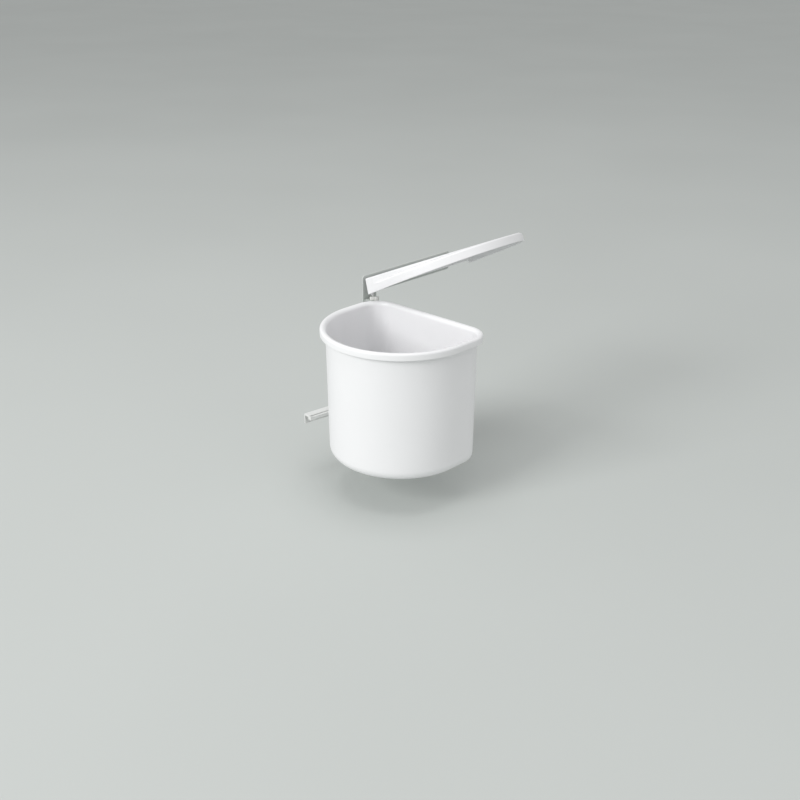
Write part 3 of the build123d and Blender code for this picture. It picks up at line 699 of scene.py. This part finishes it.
# Bearings: acetal bushes pressed into the arms, a thrust washer, and the cam disc on the pin's top
# whose sloping face carries the lid's follower.
for node, body in (("upper_bush", "wall_unit"), ("lower_bush", "wall_unit"),
                   ("cam_washer", "wall_unit"), ("lift_cam", "hanger")):
    fit(eased(node + "_moulding", node, 0.2), natural_acetal, "acetal", body, node)


# Hanger: 2 mm sheet steel with a pressed bead, welded to the tube that turns with the pin. Its
# tongue stands in the bucket's rim channel, and its stem carries a rubber pad low down.
for node, width, segments, least in (("pivot_tube", 0.3, 2, 1.5), ("bucket_hanger", 0.4, 3, 3),
                                     ("driver_arm", 0.5, 3, 0)):
    steel = eased(node + "_steel", node, width, segments, least)
    fit(steel, powder_coat, "painted_steel", "hanger", node)


# Weld beads: short fillets of weld metal under the powder coat, where the hanger's bar and the
# driver arm meet the tube. Each swells and pinches a little with the welder's steps.
def weld(line, r, ripple=1.5):
    """A bead along a line of points: rings of radius r (1 + 0.12 sin(2 pi way / ripple)).

    Over the first and last r of the way the radius closes like a quarter circle.
    """
    line = np.asarray(line, float)
    tangent = np.gradient(line, axis=0)
    tangent /= np.linalg.norm(tangent, axis=1)[:, None]
    helper = np.where(np.abs(tangent[:, 2:3]) > 0.7, [[1.0, 0.0, 0.0]], [[0.0, 0.0, 1.0]])
    side = np.cross(tangent, helper)
    side /= np.linalg.norm(side, axis=1)[:, None]
    up = np.cross(side, tangent)
    way = np.concatenate([[0], np.cumsum(np.linalg.norm(np.diff(line, axis=0), axis=1))])
    ends = np.clip(np.minimum(way, way[-1] - way) / r, 0, 1)
    size = r * np.sqrt(ends * (2 - ends)) * (1 + 0.12 * np.sin(2 * pi * way / ripple))
    a = np.linspace(0, 2 * pi, 12, endpoint=False)[:, None]
    ring = np.cos(a) * side[:, None] + np.sin(a) * up[:, None]
    return line[:, None] + size[:, None, None] * ring


tube_r, sheet_t, arm_t = 5.3, 2.0, 4.0
bar_low, bar_high = -83.0, -38.5
bar_bead_r, arm_bead_r = 0.9, 0.7
bead_points = 160
beads = []
hanger_y = span("bucket_hanger", 1)[0]
for y in (hanger_y, hanger_y + sheet_t):
    x = pivot[0] + sqrt(tube_r ** 2 - (y - pivot[1]) ** 2)
    z = np.linspace(bar_low + 2, bar_high - 1.5, bead_points)
    beads.append(weld(np.column_stack([0 * z + x, 0 * z + y, z]), bar_bead_r))
arm_low = span("driver_arm", 2)[0]
ring = turn(pivot, tube_r, -60, 240, bead_points)
for level in (arm_low, arm_low + arm_t):
    beads.append(weld(np.column_stack([ring, np.full(bead_points, level)]), arm_bead_r))
welds = skin("hanger_weld_beads", beads)
fit(welds, powder_coat, "painted_steel", "hanger")


# Buffer pad: a moulded rubber pad glued to the stem, which rests on the bucket's wall. Two shallow
# grooves run round in its face.
#
# Moulded rubber: natural rubber, matt and dark grey, with a dusty bloom.
soft_rubber, tree, shader = blank_material("grey_moulded_rubber")
tree.links.new(two_tones(tree, between(tree, fleck(tree, 7), 0, 1), "#5C5F5E", "#686B6A"),
               shader.inputs["Base Color"])
tree.links.new(between(tree, fleck(tree, 3), 0.68, 0.8), shader.inputs["Roughness"])
tree.links.new(relief(tree, fleck(tree, 0.7), 0.02), shader.inputs["Normal"])

x_span, (face, root), z_span = (span("buffer_pad", axis) for axis in (0, 1, 2))
rubber_corner_r, groove_deep = 5.0, 0.6
pad_path, pad_out = block_path(*x_span, *z_span, rubber_corner_r, 9)
sunk = face + groove_deep
pad_profile = [(0.0, root, 0.0), (0.0, root, 1.0), (0.0, face + 1.0, 1.0), (0.3, face + 0.3, 1.0),
               (1.0, face, 1.0), (3.0, face, 1.0), (3.4, sunk, 1.0), (4.2, sunk, 1.0),
               (4.6, face, 1.0), (4.9, face, 0.62), (4.9, sunk, 0.58), (4.9, sunk, 0.5),
               (4.9, face, 0.46), (4.9, face, 0.0)]
pad_mid = (sum(x_span) / 2, sum(z_span) / 2)
rubber = skin("buffer_pad_rubber", along_y(carry(pad_path, pad_out, pad_profile, pad_mid)))
fit(rubber, soft_rubber, "rubber_pad", "hanger", "buffer_pad")


# Driver pin: a headed steel pin, zinc plated as the others, riveted through the arm's end. The
# shoe turns on it.
driver = (9.1, -183.0)
driver_r, driver_head_r, driver_head_t = 2.0, 3.6, 1.5
driver_low, driver_high = span("driver_pin", 2)
head_low = driver_high - driver_head_t
head = [(0.0, driver_high), (driver_head_r - 1.0, driver_high),
        (driver_head_r - 0.3, driver_high - 0.25), (driver_head_r, driver_high - 0.75),
        (driver_head_r, head_low + 0.1), (driver_head_r - 0.1, head_low), (driver_r, head_low),
        (driver_r, driver_low + 0.4), (driver_r - 0.4, driver_low), (0.0, driver_low)]
driver_pin = skin("driver_pin_steel", turned(driver, head))
fit(driver_pin, zinc_plate, "bright_steel", "hanger", "driver_pin")


# Door rail: an extruded channel screwed to the door, with a cap at each end. The acetal shoe on the
# driver pin runs in its groove.
shoe = eased("guide_shoe_moulding", "guide_shoe", 0.25)
fit(shoe, natural_acetal, "acetal", "shoe", "guide_shoe")

# Rigid vinyl: extruded and cut to length, white, with a satin skin that is slightly uneven. The
# caps are moulded in the same vinyl. IOR 1.53.
satin_vinyl, tree, shader = blank_material("satin_white_rigid_vinyl")
tree.links.new(two_tones(tree, between(tree, fleck(tree, 25), 0, 1), "#E0E1DF", "#E6E7E5"),
               shader.inputs["Base Color"])
tree.links.new(between(tree, fleck(tree, 8), 0.32, 0.42), shader.inputs["Roughness"])
tree.links.new(relief(tree, fleck(tree, 0.9), 0.006), shader.inputs["Normal"])
shader.inputs["IOR"].default_value = 1.53
for node, least in (("door_rail", 3), ("rail_outer_cap", 0), ("rail_inner_cap", 0)):
    vinyl = eased(node + "_moulding", node, 0.3, 2, least)
    fit(vinyl, satin_vinyl, "rail_plastic", "rail", node)
